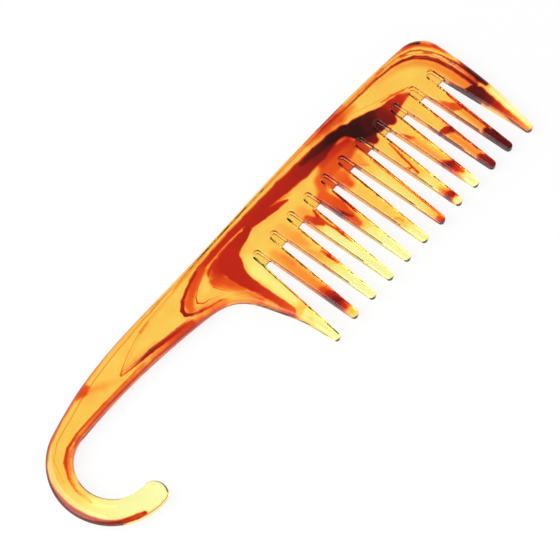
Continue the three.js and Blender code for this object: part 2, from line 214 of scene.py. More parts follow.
loop_strokes = [
    # Orange ground under the loops
    (2, [(-139, 7.6, 2, 0.42), (-131, 4.6, 2.2, 0.4), (-125.5, 0.5, 2, 0.4), (-121.5, -9, 1.6, 0.44)]),
    (1.4, [(-121.5, -9, 1.6, 0.44), (-119, -17, 1.6, 0.5), (-118.4, -20.5, 1.2, 0.55)]),
    # Outer loop: orange inside, dark red round it
    (1, [(-141, 10.6, 1.6, 0.58), (-139.5, 13, 1.6, 0.6), (-134, 16, 1.6, 0.64), (-126, 18.2, 1.4, 0.68)]),
    (0.4, [(-128, 19.4, 0.5, 0.8), (-136, 17.2, 0.5, 0.82), (-140.6, 15.2, 0.7, 0.83),
        (-143.3, 12.8, 0.8, 0.84), (-143.8, 10.8, 0.8, 0.85), (-142.2, 8.9, 0.6, 0.83),
        (-139, 7.2, 0.4, 0.78), (-135, 5.9, 0.3, 0.7), (-131, 4.8, 0.25, 0.64), (-126, 1.6, 0.2, 0.5)]),
    # Yellow inside the loop, with a thin red line round it
    (0.7, [(-134.6, 10.8, 2.1, 0.3), (-131, 12.4, 1.8, 0.27), (-127.6, 14.6, 0.8, 0.27),
        (-125, 16.2, 0.3, 0.3)]),
    (0.7, [(-133.6, 9.2, 1.2, 0.33), (-130, 7, 1.3, 0.3), (-126.6, 2, 0.9, 0.3), (-122.6, -6, 0.5, 0.32)]),
    (0.25, [(-126, 16.8, 0.12, 0.6), (-132, 14.9, 0.15, 0.66), (-136, 12.7, 0.2, 0.72),
        (-137.4, 10.6, 0.3, 0.74), (-136, 8.8, 0.25, 0.66), (-133, 8, 0.15, 0.56), (-128, 5, 0.1, 0.46)]),
    # Second lobe, down into the rear guard tooth
    (0.9, [(-126.4, 11, 2.2, 0.62), (-124.8, 7, 1.6, 0.54), (-122.4, 1, 1, 0.52), (-120.4, -7, 0.8, 0.58)]),
    (1.2, [(-124.4, 11, 2, 0.66), (-123, 7, 1.6, 0.64), (-121.4, 2, 1, 0.6)]),
    (0.7, [(-126.4, 12.4, 1.6, 0.66), (-124, 14.6, 2.2, 0.72), (-120, 16, 1.8, 0.76)]),
    (0.3, [(-128.6, 10.4, 0.15, 0.66), (-127.4, 7.4, 0.15, 0.6), (-125.6, 4, 0.1, 0.5)]),
    (1.2, [(-123.6, 12.6, 2.4, 0.7), (-120.5, 13.6, 3.4, 0.75), (-116, 15.1, 2.9, 0.76),
        (-112, 15.2, 2.8, 0.77)]),
    (0.4, [(-112, 15.2, 2.8, 0.77), (-106, 15.9, 2.1, 0.79), (-101.6, 16.2, 1.2, 0.8)]),
    (0.4, [(-114.6, 14, 3.4, 0.77), (-117.4, 11.6, 4.8, 0.77), (-118.6, 8, 3.6, 0.77),
        (-118.9, 4, 2.7, 0.77)]),
    (0.5, [(-118.9, 4, 2.7, 0.77), (-118.5, -1, 2.2, 0.76), (-117.8, -7, 1.7, 0.74),
        (-117, -13, 1.4, 0.7)]),
    (0.4, [(-117, -13, 1.4, 0.7), (-116.8, -18, 1.4, 0.62), (-117.4, -19.6, 1, 0.6)]),
    # Thin pale line over the second lobe
    (0.25, [(-127, 15.9, 0.1, 0.42), (-122, 17.6, 0.1, 0.42), (-116, 18.3, 0.1, 0.4),
        (-110, 18.5, 0.1, 0.38), (-105, 18.3, 0.1, 0.42), (-102, 17.9, 0.05, 0.56)]),
]
band_strokes = [
    # Orange and red ground below the dark band
    (1.6, [(-73, 4, 1.6, 0.58), (-68, 8, 2.8, 0.6), (-62, 9.6, 3.6, 0.63), (-54, 9.6, 3.8, 0.66),
        (-48.6, 9.4, 2.6, 0.7)]),
    (1.4, [(-62, 3.4, 1.7, 0.55), (-55, 3.6, 1.6, 0.48), (-51, 4.4, 1.4, 0.45)]),
    (0.8, [(-67, 7, 1.6, 0.64), (-67, 3.4, 1.6, 0.62)]),
    (0.8, [(-57, 7, 1.6, 0.66), (-57, 3.4, 1.6, 0.64)]),
    (0.8, [(-46.8, 8, 1.8, 0.74), (-46.8, 3.6, 1.6, 0.7)]),
    (1, [(-52.4, 3, 2, 0.44), (-51.6, 0.6, 1, 0.44)]),
    (1.2, [(-63, 12.6, 1.2, 0.7), (-54, 13.2, 1.6, 0.75), (-48, 12, 1.6, 0.77)]),
    # Orange fringe of the panel at the front corner
    (2, [(-22, 19.8, 0.8, 0.38), (-10, 17.8, 1, 0.42), (-3, 13, 1.6, 0.45), (0.4, 5, 2.2, 0.46)]),
    (1.6, [(0.4, 5, 2.2, 0.46), (0.8, -7, 2.4, 0.5)]),
    # Orange red along the spine
    (2, [(-59, 22.2, 1, 0.5), (-50, 21.8, 1.8, 0.64), (-43, 20.8, 2, 0.64), (-36, 20.4, 1.2, 0.5)]),
    (0.7, [(-53, 24, 0.5, 0.72), (-46, 24, 0.8, 0.79), (-38, 23.6, 0.5, 0.7)]),
    # The dark band
    (0.6, [(-132, 18.2, 1, 0.68), (-126, 19, 1.3, 0.74), (-118, 19.6, 1.3, 0.76), (-108, 19.8, 1.4, 0.77),
        (-99, 19.6, 1.6, 0.78), (-90, 18.7, 2.5, 0.79), (-80, 18, 3.1, 0.79)]),
    (0.7, [(-80, 18, 3.1, 0.79), (-70, 17.2, 3.5, 0.81), (-60, 16.9, 3.3, 0.86), (-50, 17, 2.1, 0.92)]),
    # Its lower lobe
    (0.4, [(-102, 17.2, 1.5, 0.78), (-94, 16, 2, 0.79), (-88, 14.7, 1.7, 0.78), (-83, 13, 0.5, 0.74)]),
    (0.35, [(-89, 16.2, 0.1, 0.6), (-84, 15, 0.4, 0.5), (-80, 14, 0.5, 0.36)]),
    # Near black heart of the band and its red end
    (0.9, [(-68, 18.9, 0.6, 0.9), (-60, 18.3, 1.5, 0.95), (-52, 17.4, 1.9, 1), (-46, 15.8, 2.5, 1)]),
    (0.6, [(-46, 15.8, 2.4, 1), (-41.6, 11.4, 4.4, 1), (-41.4, 8, 3.6, 0.95), (-41.4, 4.4, 1.8, 0.87)]),
    (0.6, [(-41.2, 12, 4.6, 1), (-35.6, 9.6, 4.9, 0.97), (-31, 8.2, 4, 0.93), (-30.4, 5, 2.2, 0.87)]),
    (0.6, [(-30, 8.2, 3.6, 0.87), (-25, 8.4, 3, 0.8), (-21, 8.4, 2.1, 0.76), (-17.8, 7.4, 1, 0.7)]),
    (0.35, [(-27, 12.8, 0.3, 0.58), (-22, 11.8, 0.5, 0.62), (-17.5, 9.8, 0.4, 0.6), (-14.5, 9, 0.2, 0.5)]),
    (0.25, [(-38, 18.3, 0.08, 0.5), (-33, 16.4, 0.08, 0.5), (-27, 14, 0.08, 0.5), (-21, 12.6, 0.08, 0.46)]),
]
front_strokes = [
    # Painted shade: dark lines along the creases of the rim, outer and inner
    (0.3, [(-40, 23, 0.1, 0.5), (-25, 22.4, 0.12, 0.6), (-15, 21.7, 0.15, 0.68), (-6, 20.5, 0.18, 0.72)]),
    (0.25, [(-6, 20.5, 0.2, 0.84), (-2, 18.8, 0.2, 0.86), (1, 16, 0.2, 0.86), (3.2, 12, 0.2, 0.86),
        (4.8, 7, 0.25, 0.88), (5.5, 2, 0.35, 0.88), (5.7, -4, 0.5, 0.9)]),
    (0.3, [(-75, 22.9, 0.1, 0.6), (-60, 22.7, 0.15, 0.72), (-45, 22.1, 0.25, 0.84),
        (-30, 21.4, 0.3, 0.86)]),
    (0.4, [(-30, 21.4, 0.3, 0.86), (-20, 20.8, 0.35, 0.86), (-12, 19.9, 0.45, 0.86),
        (-7, 18.4, 0.6, 0.86)]),
    (0.5, [(-7, 18.4, 0.6, 0.86), (-3, 15.8, 0.75, 0.86), (0, 12.2, 0.85, 0.86), (1.8, 8, 0.85, 0.86),
        (2.7, 2, 0.8, 0.86), (3, -4, 0.75, 0.86), (3, -10, 1, 0.9)]),
    (0.5, [(4.2, 0, 0.3, 0.6), (4.4, -6, 0.5, 0.64), (4.2, -10, 0.4, 0.6)]),
    # Painted shade: a reddish band with dark patches on the rounded rim round the corner, in place of the
    # refraction in the rounding
    (0.6, [(-10, 22.5, 0.4, 0.56), (-3, 21.6, 0.8, 0.64), (2.4, 18.6, 0.9, 0.64), (5.6, 13, 0.8, 0.6),
        (6.8, 8.6, 0.7, 0.58), (7, 6.8, 0.5, 0.5)]),
    (0.5, [(-2.6, 22.2, 0.3, 0.84), (0.6, 20.9, 0.5, 0.9), (3.2, 18.4, 0.4, 0.86)]),
    (0.5, [(7, 2.4, 0.3, 0.6), (6.8, 0, 0.6, 0.74), (6.3, -4.5, 1.1, 0.92), (6, -9.5, 1.3, 0.96),
        (5.8, -12.8, 0.9, 0.92)]),
    # Front guard tooth: pale outside, maroon running to orange inside
    (1.2, [(5.4, -17, 1.6, 0.1), (4.4, -26, 1.8, 0), (3.3, -37, 1.6, 0)]),
    (0.6, [(-3, -2, 0.5, 0.8), (-2.6, -8, 1, 0.9), (-1.6, -16, 0.8, 0.92)]),
    (0.6, [(-1.2, -9, 1, 0.93), (0.6, -10.6, 1.8, 0.94), (1, -13, 2.6, 0.94), (0.8, -18.4, 2.1, 0.9)]),
    (0.7, [(0.8, -18.4, 2.1, 0.88), (1, -22, 1.6, 0.8), (1, -27, 1.3, 0.7), (0.6, -31, 1.2, 0.58),
        (0.3, -37.6, 1, 0.52)]),
]
tooth_strokes = [
    # First tooth
    (0.6, [(-13, -2, 0.3, 0.5), (-11.6, -6, 1, 0.58), (-10.2, -9.6, 1.7, 0.65), (-9, -12, 1.2, 0.62)]),
    (1.2, [(-9.4, -14, 1, 0.46), (-9.6, -23, 1.2, 0.48)]),
    # Painted shade: dark line along the tooth's front edge
    (0.4, [(-7.4, -4, 0.3, 0.84), (-7.8, -12, 0.5, 0.93), (-8.3, -25, 0.5, 0.93)]),
    (0.9, [(-10.2, -26.6, 2.2, 0.93), (-10.4, -38, 2.4, 0.95)]),
    # Second tooth
    (0.5, [(-23.4, -13, 0.5, 0.9), (-21.6, -13.2, 1, 0.8), (-20, -14, 1.6, 0.78),
        (-18.6, -15.6, 1.5, 0.9)]),
    (1.2, [(-20.3, -17, 1.3, 0.46), (-20.4, -28.6, 1.4, 0.46)]),
    # Painted shade: dark line along the tooth's front edge
    (0.4, [(-17.6, -6, 0.25, 0.84), (-18, -16, 0.5, 0.95), (-18.6, -30, 0.35, 0.86)]),
    (0.9, [(-20.6, -32, 2.2, 0.84), (-20.8, -38, 2.3, 0.88)]),
    # Third tooth
    (0.5, [(-33, -1.4, 0.3, 0.6), (-32.2, -4, 0.6, 0.68), (-31.2, -6.6, 0.8, 0.7)]),
    (1.2, [(-31.5, -7, 0.9, 0.44), (-31.5, -20, 1.2, 0.42)]),
    (0.9, [(-32.4, -20.4, 0.5, 0.56), (-31.8, -22.6, 1.2, 0.76), (-30.6, -24.8, 1.8, 0.86)]),
    (0.7, [(-30.6, -24.8, 1.8, 0.86), (-30.4, -27.4, 1.5, 0.76), (-30, -29.6, 1, 0.62)]),
    (1.4, [(-31, -33.5, 2.2, 0.03), (-31, -38, 2.4, 0.02)]),
    # Fourth tooth
    (0.35, [(-39, -1, 0.3, 0.66), (-40, -8, 0.45, 0.72), (-41, -13.4, 0.3, 0.8),
        (-41.4, -17.4, 0.4, 0.76)]),
    (0.3, [(-43.4, -12, 0.15, 0.6), (-42, -13.8, 0.3, 0.74), (-41, -14.4, 0.2, 0.74)]),
    (3, [(-41.2, -22, 1.6, 0.14), (-41.3, -27, 1.6, 0.14)]),
    (1.4, [(-41.6, -28.6, 1.2, 0.46), (-41.4, -31, 1.6, 0.66)]),
    (0.8, [(-42.4, -32.6, 1.6, 0.74), (-40.2, -32.6, 1.7, 0.82)]),
    (0.9, [(-41.2, -37, 2.2, 0.06), (-41.2, -38, 2.3, 0.06)]),
    # Fifth tooth
    (0.5, [(-54, 4, 0.2, 0.5), (-52.4, 0.6, 0.2, 0.52), (-51.3, -0.8, 0.25, 0.54)]),
    (4, [(-52, -8, 1.6, 0.16), (-52, -27, 2, 0.14)]),
    # Painted shade: dark line along the tooth's front edge
    (0.4, [(-49, 0, 0.15, 0.6), (-49.3, -18, 0.25, 0.72), (-49.9, -35, 0.45, 0.78)]),
    (1, [(-51.6, -36.2, 1.7, 0.66), (-51.6, -37.4, 1.7, 0.78)]),
    # Sixth tooth
    (1.2, [(-62, 4, 2.6, 0.58), (-62, -0.8, 1.6, 0.64)]),
    (0.4, [(-62.6, -22.6, 0.3, 0.46), (-61.4, -24, 0.3, 0.48), (-61.2, -26, 0.25, 0.5)]),
    (2.4, [(-62, -31, 2, 0.06), (-62, -38, 2.2, 0.04)]),
    # Seventh tooth
    (0.8, [(-73.2, 3, 2.8, 0.6), (-71.8, -3, 2.4, 0.65), (-72.4, -9, 1.8, 0.65), (-72.9, -13.8, 1.4, 0.6)]),
    (0.5, [(-74.6, -1, 0.4, 0.76), (-73.6, -6.4, 0.8, 0.88), (-72.2, -10, 0.5, 0.8)]),
    # Painted shade: dark line along the tooth's front edge
    (0.4, [(-68.8, 2, 0.3, 0.86), (-68.9, -4, 0.6, 0.92), (-69.8, -10, 0.3, 0.76)]),
    (1.8, [(-72.4, -19.4, 2.2, 0.12), (-72.2, -26, 2.4, 0.05), (-72.1, -38, 2.4, 0.02)]),
    # Eighth tooth
    (1.4, [(-83, 6, 2.2, 0.4), (-83, 1.5, 2.2, 0.42)]),
    (2, [(-82.8, -7, 2.2, 0.1), (-82.4, -16, 2.4, 0.05), (-82.3, -38, 2.4, 0.03)]),
    (0.6, [(-84, 2.4, 1.2, 0.66), (-82.6, -1, 1.6, 0.72), (-81.6, -3.8, 0.8, 0.72)]),
    # Painted shade: dark line along the tooth's front edge
    (0.5, [(-79.9, 2.6, 0.4, 0.84), (-80.6, 0, 0.6, 0.78), (-80.6, -5, 0.4, 0.72), (-80.2, -12, 0.6, 0.78),
        (-80.3, -17, 0.2, 0.6)]),
    # Ninth tooth
    (1.6, [(-93.2, 7, 2, 0.36), (-93, 0, 2.2, 0.42), (-92.6, -4.4, 1.4, 0.42)]),
    (1.2, [(-94.2, -6.4, 0.6, 0.46), (-92.8, -11, 1, 0.4), (-92.2, -13.6, 1, 0.34)]),
    # Painted shade: dark line along the tooth's front edge
    (0.5, [(-91, -10.6, 0.4, 0.62), (-90.6, -14, 0.7, 0.82), (-90.6, -18.6, 0.4, 0.8)]),
    (2.4, [(-93, -19.6, 2, 0.12), (-92.8, -27, 2.4, 0.04), (-92.7, -38, 2.4, 0.02)]),
    # Tenth tooth
    (1.4, [(-103.2, 2, 1.8, 0.42), (-103, -8, 2.2, 0.45), (-103, -19, 2.2, 0.48)]),
    (1.6, [(-101.6, -1, 0.6, 0.52), (-101.8, -6, 0.8, 0.52)]),
    (1.2, [(-103, -22, 2, 0.68), (-103, -25, 2, 0.8), (-103, -28.6, 2, 0.88), (-103, -31.6, 2, 0.74)]),
    (1.2, [(-103.2, -35.4, 2, 0.3), (-103.2, -38, 2.2, 0.12)]),
    # Rear guard tooth, yellow on its inner side
    (2, [(-111, 7, 2.6, 0.2), (-113, 2, 2.6, 0.14), (-113, -8, 2.2, 0.12), (-113.2, -16, 2, 0.1)]),
    (0.6, [(-113.6, -24, 2.6, 0.12), (-114.2, -30, 2.6, 0.1), (-114.4, -38, 2.4, 0.05)]),
    (0.5, [(-117, -23, 1, 0.2), (-115.6, -26, 1.2, 0.2), (-116, -28, 0.5, 0.2)]),
]
dye_and_shade_strokes = band_strokes + tooth_strokes + front_strokes + loop_strokes + hook_and_handle_strokes

# How far the sheets of dye lean along x and y for each millimetre of depth
sheet_slant_shares = (0.227, 0.193, -1)

# Size and reach of each waver in the edges of the strokes, in millimetres
wavers = ((7, 0.3), (1.6, 0.1))
waver_detail = 1
noise_middle_share = 0.5

# Faint clouds in the clear plastic: their size in millimetres, and the least and the most dye there
mottle_size = 9
mottle_detail = 3
mottle_shares = (0.22, 0.36)

# Painted shade: rounded edges and walls are made darker by adding dye where their faces tilt, in place of
# the dark refraction there. How much a face points up or down where that starts and where it is full, and
# the dye that is added there as painted shade
shade_start_share = 0.985
shade_full_share = 0.6
shade_gain_share = 0.25
shade_least_share = 0.06

# Colours by depth of dye
dye_colours = (
    (0, "#FFFFB4"),
    (0.14, "#FFF488"),
    (0.28, "#FFD35A"),
    (0.44, "#FFA23A"),
    (0.6, "#F4611A"),
    (0.76, "#CC280F"),
    (0.88, "#7A1410"),
    (1, "#360B08"),
)

# Regions of the comb on the plan, from a low to a high corner. Each has a plastic of its own, which
# holds the strokes that come near it
dye_regions = (
    ("hook", (-240, -40), (-185, 30)),
    ("handle", (-185, -40), (-146, 30)),
    ("shoulder", (-146, -50), (-112, 30)),
    ("rear_head", (-112, 1), (-76, 30)),
    ("middle_head", (-76, 1), (-46, 30)),
    ("front_head", (-46, 1), (20, 30)),
    ("rear_teeth", (-112, -50), (-76, 1)),
    ("middle_teeth", (-76, -50), (-46, 1)),
    ("front_teeth", (-46, -50), (20, 1)),
)
region_margin = 4

# Sizes that follow
gap_root_width = tooth_pitch - tooth_root_width
rear_guard_root = -(inner_tooth_count * tooth_pitch + gap_root_width)
handle_joint = rear_guard_root - rear_shoulder_length
hook_outer_radius = hook_inner_radius + hook_width
hook_centre = Vector((handle_joint - handle_length, -hook_drop))
knee = Vector((rear_guard_root - rear_guard_knee_width, -rear_guard_knee_drop))


def direction(angle):
    """Unit vector at an angle in degrees."""
    return Vector((math.cos(math.radians(angle)), math.sin(math.radians(angle))))


def flow(start, start_angle, end, end_angle, share=flow_share):
    """One curve segment that leaves a point and reaches another in given directions."""
    start, end = Vector(start), Vector(end)
    reach = (end - start).length * share
    return [start, start + direction(start_angle) * reach, end - direction(end_angle) * reach, end]


def backwards(segment):
    return segment[::-1]


def line(start, end):
    start, end = Vector(start), Vector(end)
    return [start, start.lerp(end, third_share), start.lerp(end, 2 * third_share), end]


def arc(centre, radius, start_angle, end_angle):
    """Round stretch as curve segments of at most a quarter turn."""
    count = max(1, math.ceil(abs(end_angle - start_angle) / 90))
    step = (end_angle - start_angle) / count
    reach = 4 / 3 * math.tan(math.radians(step) / 4) * radius
    segments = []
    for index in range(count):
        a0 = start_angle + step * index
        a1 = a0 + step
        p0 = Vector(centre) + direction(a0) * radius
        p1 = Vector(centre) + direction(a1) * radius
        segments.append([p0, p0 + direction(a0 + 90) * reach, p1 - direction(a1 + 90) * reach, p1])
    return segments


def deselect():
    bpy.ops.object.select_all(action="DESELECT")


def pick(*objects):
    """Select only these objects, the last one active."""
    deselect()
    for item in objects:
        item.select_set(True)
    bpy.context.view_layer.objects.active = objects[-1]


def apply_modifier(obj, kind, **settings):
    pick(obj)
    bpy.ops.object.modifier_add(type=kind)
    modifier = obj.modifiers[-1]
    for key, value in settings.items():
        setattr(modifier, key, value)
    bpy.ops.object.modifier_apply(modifier=modifier.name)


def traced_plate(name, segments, thickness, edge, steps=edge_steps):
    """Plate with rounded edges inside a traced outline, its mid-plane at z = 0."""
    deselect()
    bpy.ops.curve.primitive_bezier_curve_add(location=(0, 0, 0))
    obj = bpy.context.object
    obj.name = name
    curve = obj.data
    curve.dimensions = "2D"
    curve.fill_mode = "BOTH"
    curve.resolution_u = curve_steps
    spline = curve.splines[0]
    spline.bezier_points.add(len(segments) - 2)
    spline.use_cyclic_u = True
    for index, segment in enumerate(segments):
        knot = spline.bezier_points[index]
        before = segments[index - 1]
        knot.handle_left_type = "FREE"
        knot.handle_right_type = "FREE"
        knot.co = segment[0].to_3d()
        knot.handle_right = segment[1].to_3d()
        knot.handle_left = before[2].to_3d()
    curve.extrude = thickness / 2 - edge
    curve.bevel_depth = edge
    curve.bevel_resolution = steps
    curve.offset = -edge
    pick(obj)
    bpy.ops.object.convert(target="MESH")
    bpy.ops.object.mode_set(mode="EDIT")
    bpy.ops.mesh.select_all(action="SELECT")
    bpy.ops.mesh.remove_doubles(threshold=weld_distance)
    bpy.ops.mesh.normals_make_consistent(inside=False)
    bpy.ops.object.mode_set(mode="OBJECT")
    return obj


corner_centre = Vector((front_guard_root_width - corner_inset - corner_radius, corner_height))
corner_arc = arc(corner_centre, corner_radius, 90 - spine_fall_angle, front_lean_angle)
front_tip_centre = Vector((front_guard_tip_offset, front_guard_tip_width / 2 - guard_tooth_length))
rear_tip_height = rear_guard_tip_width / 2 - guard_tooth_length
rear_tip_centre = Vector((rear_guard_root - rear_guard_tip_offset, rear_tip_height))
spine_rear = Vector((handle_joint, spine_rear_height))
spine_crown = Vector((-spine_crown_distance, spine_crown_height))
shoulder = Vector((handle_joint, shoulder_rise))


def gap_centre(index):
    return -(gap_root_width / 2 + index * tooth_pitch)


def root_height(x):
    """The gaps end on a shallow arch."""
    share = (x + root_arch_middle) / root_arch_reach
    return root_arch_rise - root_arch_fall * share * share


def root_course(x):
    """Direction of the arch, in degrees, for one who goes from the front to the handle."""
    slope = -2 * root_arch_fall * (x + root_arch_middle) / root_arch_reach ** 2
    return 180 + math.degrees(math.atan(slope))


def web_outline():
    """The thin strip that ends the gaps: rounded corners at each gap, the rest inside teeth and head."""
    start = Vector((web_overlap, root_height(0) - root_fillet))
    stop = Vector((rear_guard_root - web_overlap, root_height(rear_guard_root) - root_fillet))
    lift = Vector((0, root_fillet + web_overlap))
    segments = [line(start + lift, start)]
    reached = start
    for index in range(inner_tooth_count + 1):
        middle = gap_centre(index)
        top = root_height(middle)
        right = Vector((middle + gap_root_width / 2 - root_fillet, top - root_fillet))
        left = Vector((middle - gap_root_width / 2 + root_fillet, top - root_fillet))
        right_arc = arc(right, root_fillet, 0, 90)
        left_arc = arc(left, root_fillet, 90, 180)
        segments.append(line(reached, right_arc[0][0]))
        segments += [*right_arc, line(right_arc[-1][-1], left_arc[0][0]), *left_arc]
        reached = left_arc[-1][-1]
    segments += [line(reached, stop), line(stop, stop + lift)]
    leaving = root_course(stop.x) - 180
    arriving = root_course(start.x) - 180
    return segments + [flow(stop + lift, leaving, start + lift, arriving, third_share)]


def outer_outline():
    """Hook start, handle, spine, corner and the outer sides of the guard teeth, closed below them."""
    hook_start = 90 + hook_tangent_angle
    hook_stop = hook_start + math.degrees(hook_overlap / (hook_inner_radius + hook_width / 2))
    outer = arc(hook_centre, hook_outer_radius, hook_stop, hook_start)
    inner = arc(hook_centre, hook_inner_radius, 90, hook_stop)
    handle_rise = hook_outer_radius / math.cos(math.radians(hook_tangent_angle))
    handle_top = Vector((hook_centre.x, hook_centre.y + handle_rise))
    handle_under = Vector((hook_centre.x, hook_centre.y + hook_inner_radius))
    front_side = front_tip_centre + Vector((front_guard_tip_width / 2, 0))
    rear_side = rear_tip_centre - Vector((rear_guard_tip_width / 2, 0))
    front_low = Vector((front_side.x, -guard_tooth_length - overrun))
    rear_low = Vector((rear_side.x, -guard_tooth_length - overrun))
    return [
        *outer,
        line(outer[-1][-1], handle_top),
        flow(handle_top, hook_tangent_angle, spine_rear, 0),
        flow(spine_rear, 0, spine_crown, 0),
        flow(spine_crown, 0, corner_arc[0][0], -spine_fall_angle),
        *corner_arc,
        flow(corner_arc[-1][-1], front_lean_angle - 90, front_side, -90 - front_guard_tip_lean),
        line(front_side, front_low),
        line(front_low, rear_low),
        line(rear_low, rear_side),
        backwards(flow(knee, rear_guard_knee_lean - 90, rear_side, rear_guard_tip_lean - 90)),
        backwards(flow(shoulder, -shoulder_fall_angle, knee, rear_guard_knee_lean - 90, flare_share)),
        backwards(flow(handle_under, handle_arch_angle, shoulder, -shoulder_fall_angle)),
        *inner,
        line(inner[-1][-1], outer[0][0]),
    ]


def inner_outline():
    """Tips and inner sides of the guard teeth and the line where the gaps end, in a block that is
    larger than the rest."""
    front_tip = arc(front_tip_centre, front_guard_tip_width / 2, 0, -180)
    rear_tip = arc(rear_tip_centre, rear_guard_tip_width / 2, 0, -180)
    front_root = Vector((0, root_height(0)))
    rear_root = Vector((rear_guard_root, root_height(rear_guard_root)))
    front_low = Vector((block_front, front_tip_centre.y))
    rear_low = Vector((-block_rear, rear_tip_centre.y))
    front_high = Vector((block_front, block_height))
    rear_high = Vector((-block_rear, block_height))
    return [
        line(front_high, front_low),
        line(front_low, front_tip[0][0]),
        *front_tip,
        line(front_tip[-1][-1], front_root),
        flow(front_root, root_course(front_root.x), rear_root, root_course(rear_root.x), third_share),
        line(rear_root, rear_tip[0][0]),
        *rear_tip,
        line(rear_tip[-1][-1], rear_low),
        line(rear_low, rear_high),
        line(rear_high, front_high),
    ]


def thin_towards(obj, share):
    """Thin a plate along +Y from y = 0, to a share of its thickness at the far end."""
    heights = [corner[1] for corner in obj.bound_box]
    low, high = min(heights), max(heights)
    settings = {"deform_method": "TAPER", "deform_axis": "Y", "lock_x": True, "factor": share - 1}
    apply_modifier(obj, "SIMPLE_DEFORM", limits=(-low / (high - low), 1), **settings)


def turn_half(obj):
    """Turn a piece half round about Z."""
    pick(obj)
    bpy.ops.transform.rotate(value=math.pi, orient_axis="Z", center_override=(0, 0, 0))
    bpy.ops.object.transform_apply(location=True, rotation=True, scale=True)


def cut_across(obj, height):
    """A ring of edges where the thickness starts to change."""
    pick(obj)
    bpy.ops.object.mode_set(mode="EDIT")
    bpy.ops.mesh.select_all(action="SELECT")
    bpy.ops.mesh.bisect(plane_co=(0, height, 0), plane_no=(0, 1, 0))
    bpy.ops.object.mode_set(mode="OBJECT")


def make_blank():
    """Head, handle and guard teeth as one plate, with wide soft edges outside and crisp ones between
    the guard teeth, thinned towards their tips."""
    blank = traced_plate("comb", outer_outline(), plate_thickness, plate_edge)
    block = traced_plate("block", inner_outline(), plate_thickness + block_slack, guard_edge)
    apply_modifier(blank, "BOOLEAN", operation="INTERSECT", solver="EXACT", object=block)
    bpy.data.objects.remove(block)
    cut_across(blank, 0)
    turn_half(blank)
    thin_towards(blank, tooth_tip_thickness / plate_thickness)
    turn_half(blank)
    return blank


def make_tooth():
    """One inner tooth, drawn upwards from inside the head and turned over: taper and round tip."""
    root = tooth_root_width / 2
    tip = tooth_tip_width / 2
    tip_arc = arc((0, inner_tooth_length - tip), tip, 0, 180)
    outline = [
        line((root, -tooth_overlap), (root, 0)),
        line((root, 0), tip_arc[0][0]),
        *tip_arc,
        line(tip_arc[-1][-1], (-root, 0)),
        line((-root, 0), (-root, -tooth_overlap)),
        line((-root, -tooth_overlap), (root, -tooth_overlap)),
    ]
    tooth = traced_plate("tooth", outline, tooth_root_thickness, tooth_edge)
    cut_across(tooth, 0)
    thin_towards(tooth, tooth_tip_thickness / tooth_root_thickness)
    turn_half(tooth)
    return tooth


def row_of(obj, places):
    """Copies of a piece at places given as x and y, the piece itself at the first, joined to one."""
    pick(obj)
    bpy.ops.transform.translate(value=(*places[0], 0))
    copies = [obj]
    for before, place in zip(places, places[1:]):
        pick(copies[-1])
        bpy.ops.object.duplicate()
        bpy.ops.transform.translate(value=(place[0] - before[0], place[1] - before[1], 0))
        copies.append(bpy.context.object)
    pick(*copies)
    bpy.ops.object.join()
    bpy.ops.object.transform_apply(location=True, rotation=True, scale=True)
    return bpy.context.object


def section_loop(place, is_round):
    """A loop across the hook's bar: flat with rounded corners, or rounded all over with its crest
    nearer the inner side, which is +X."""
    deselect()
    if not is_round:
        bpy.ops.mesh.primitive_circle_add(vertices=4, radius=math.sqrt(1 / 2), rotation=(0, 0, math.pi / 4))
        size = (hook_width, plate_thickness, 1)
    else:
        bpy.ops.mesh.primitive_circle_add(vertices=section_points, radius=1 / 2)
        size = (hook_width, hook_end_thickness, 1)
    loop = bpy.context.object
    bpy.ops.object.transform_apply(location=True, rotation=True, scale=True)
    bpy.ops.object.mode_set(mode="EDIT")
    bpy.ops.mesh.select_all(action="SELECT")
    bpy.ops.transform.resize(value=size, center_override=(0, 0, 0))
    if not is_round:
        corner_steps = section_points // 4 - 1
        bpy.ops.mesh.bevel(offset=plate_edge, segments=corner_steps, affect="VERTICES")
    bpy.ops.mesh.select_all(action="DESELECT")
    bpy.ops.object.mode_set(mode="OBJECT")
    if is_round:
        for side, share in ((1, hook_inner_share), (-1, 1 - hook_inner_share)):
            squeeze_half(loop, side, 2 * share)
        bpy.ops.transform.translate(value=(hook_width * (1 / 2 - hook_inner_share), 0, 0))
    bpy.ops.transform.translate(value=(0, 0, place))
    bpy.ops.object.transform_apply(location=True, rotation=True, scale=True)
    return loop


def squeeze_half(loop, side, share):
    """Widen or narrow the half of a loop on one side of its crest."""
    for vertex in loop.data.vertices:
        vertex.select = vertex.co.x * side > 0
    bpy.ops.object.mode_set(mode="EDIT")
    bpy.ops.transform.resize(value=(share, 1, 1), center_override=(0, 0, 0))
    bpy.ops.mesh.select_all(action="DESELECT")
    bpy.ops.object.mode_set(mode="OBJECT")


def select_between(obj, low, high):
    """From edit mode, select the vertices between two heights and stay in edit mode."""
    bpy.ops.mesh.select_all(action="DESELECT")
    bpy.ops.object.mode_set(mode="OBJECT")
    for vertex in obj.data.vertices:
        vertex.select = low <= vertex.co.z <= high
    bpy.ops.object.mode_set(mode="EDIT")


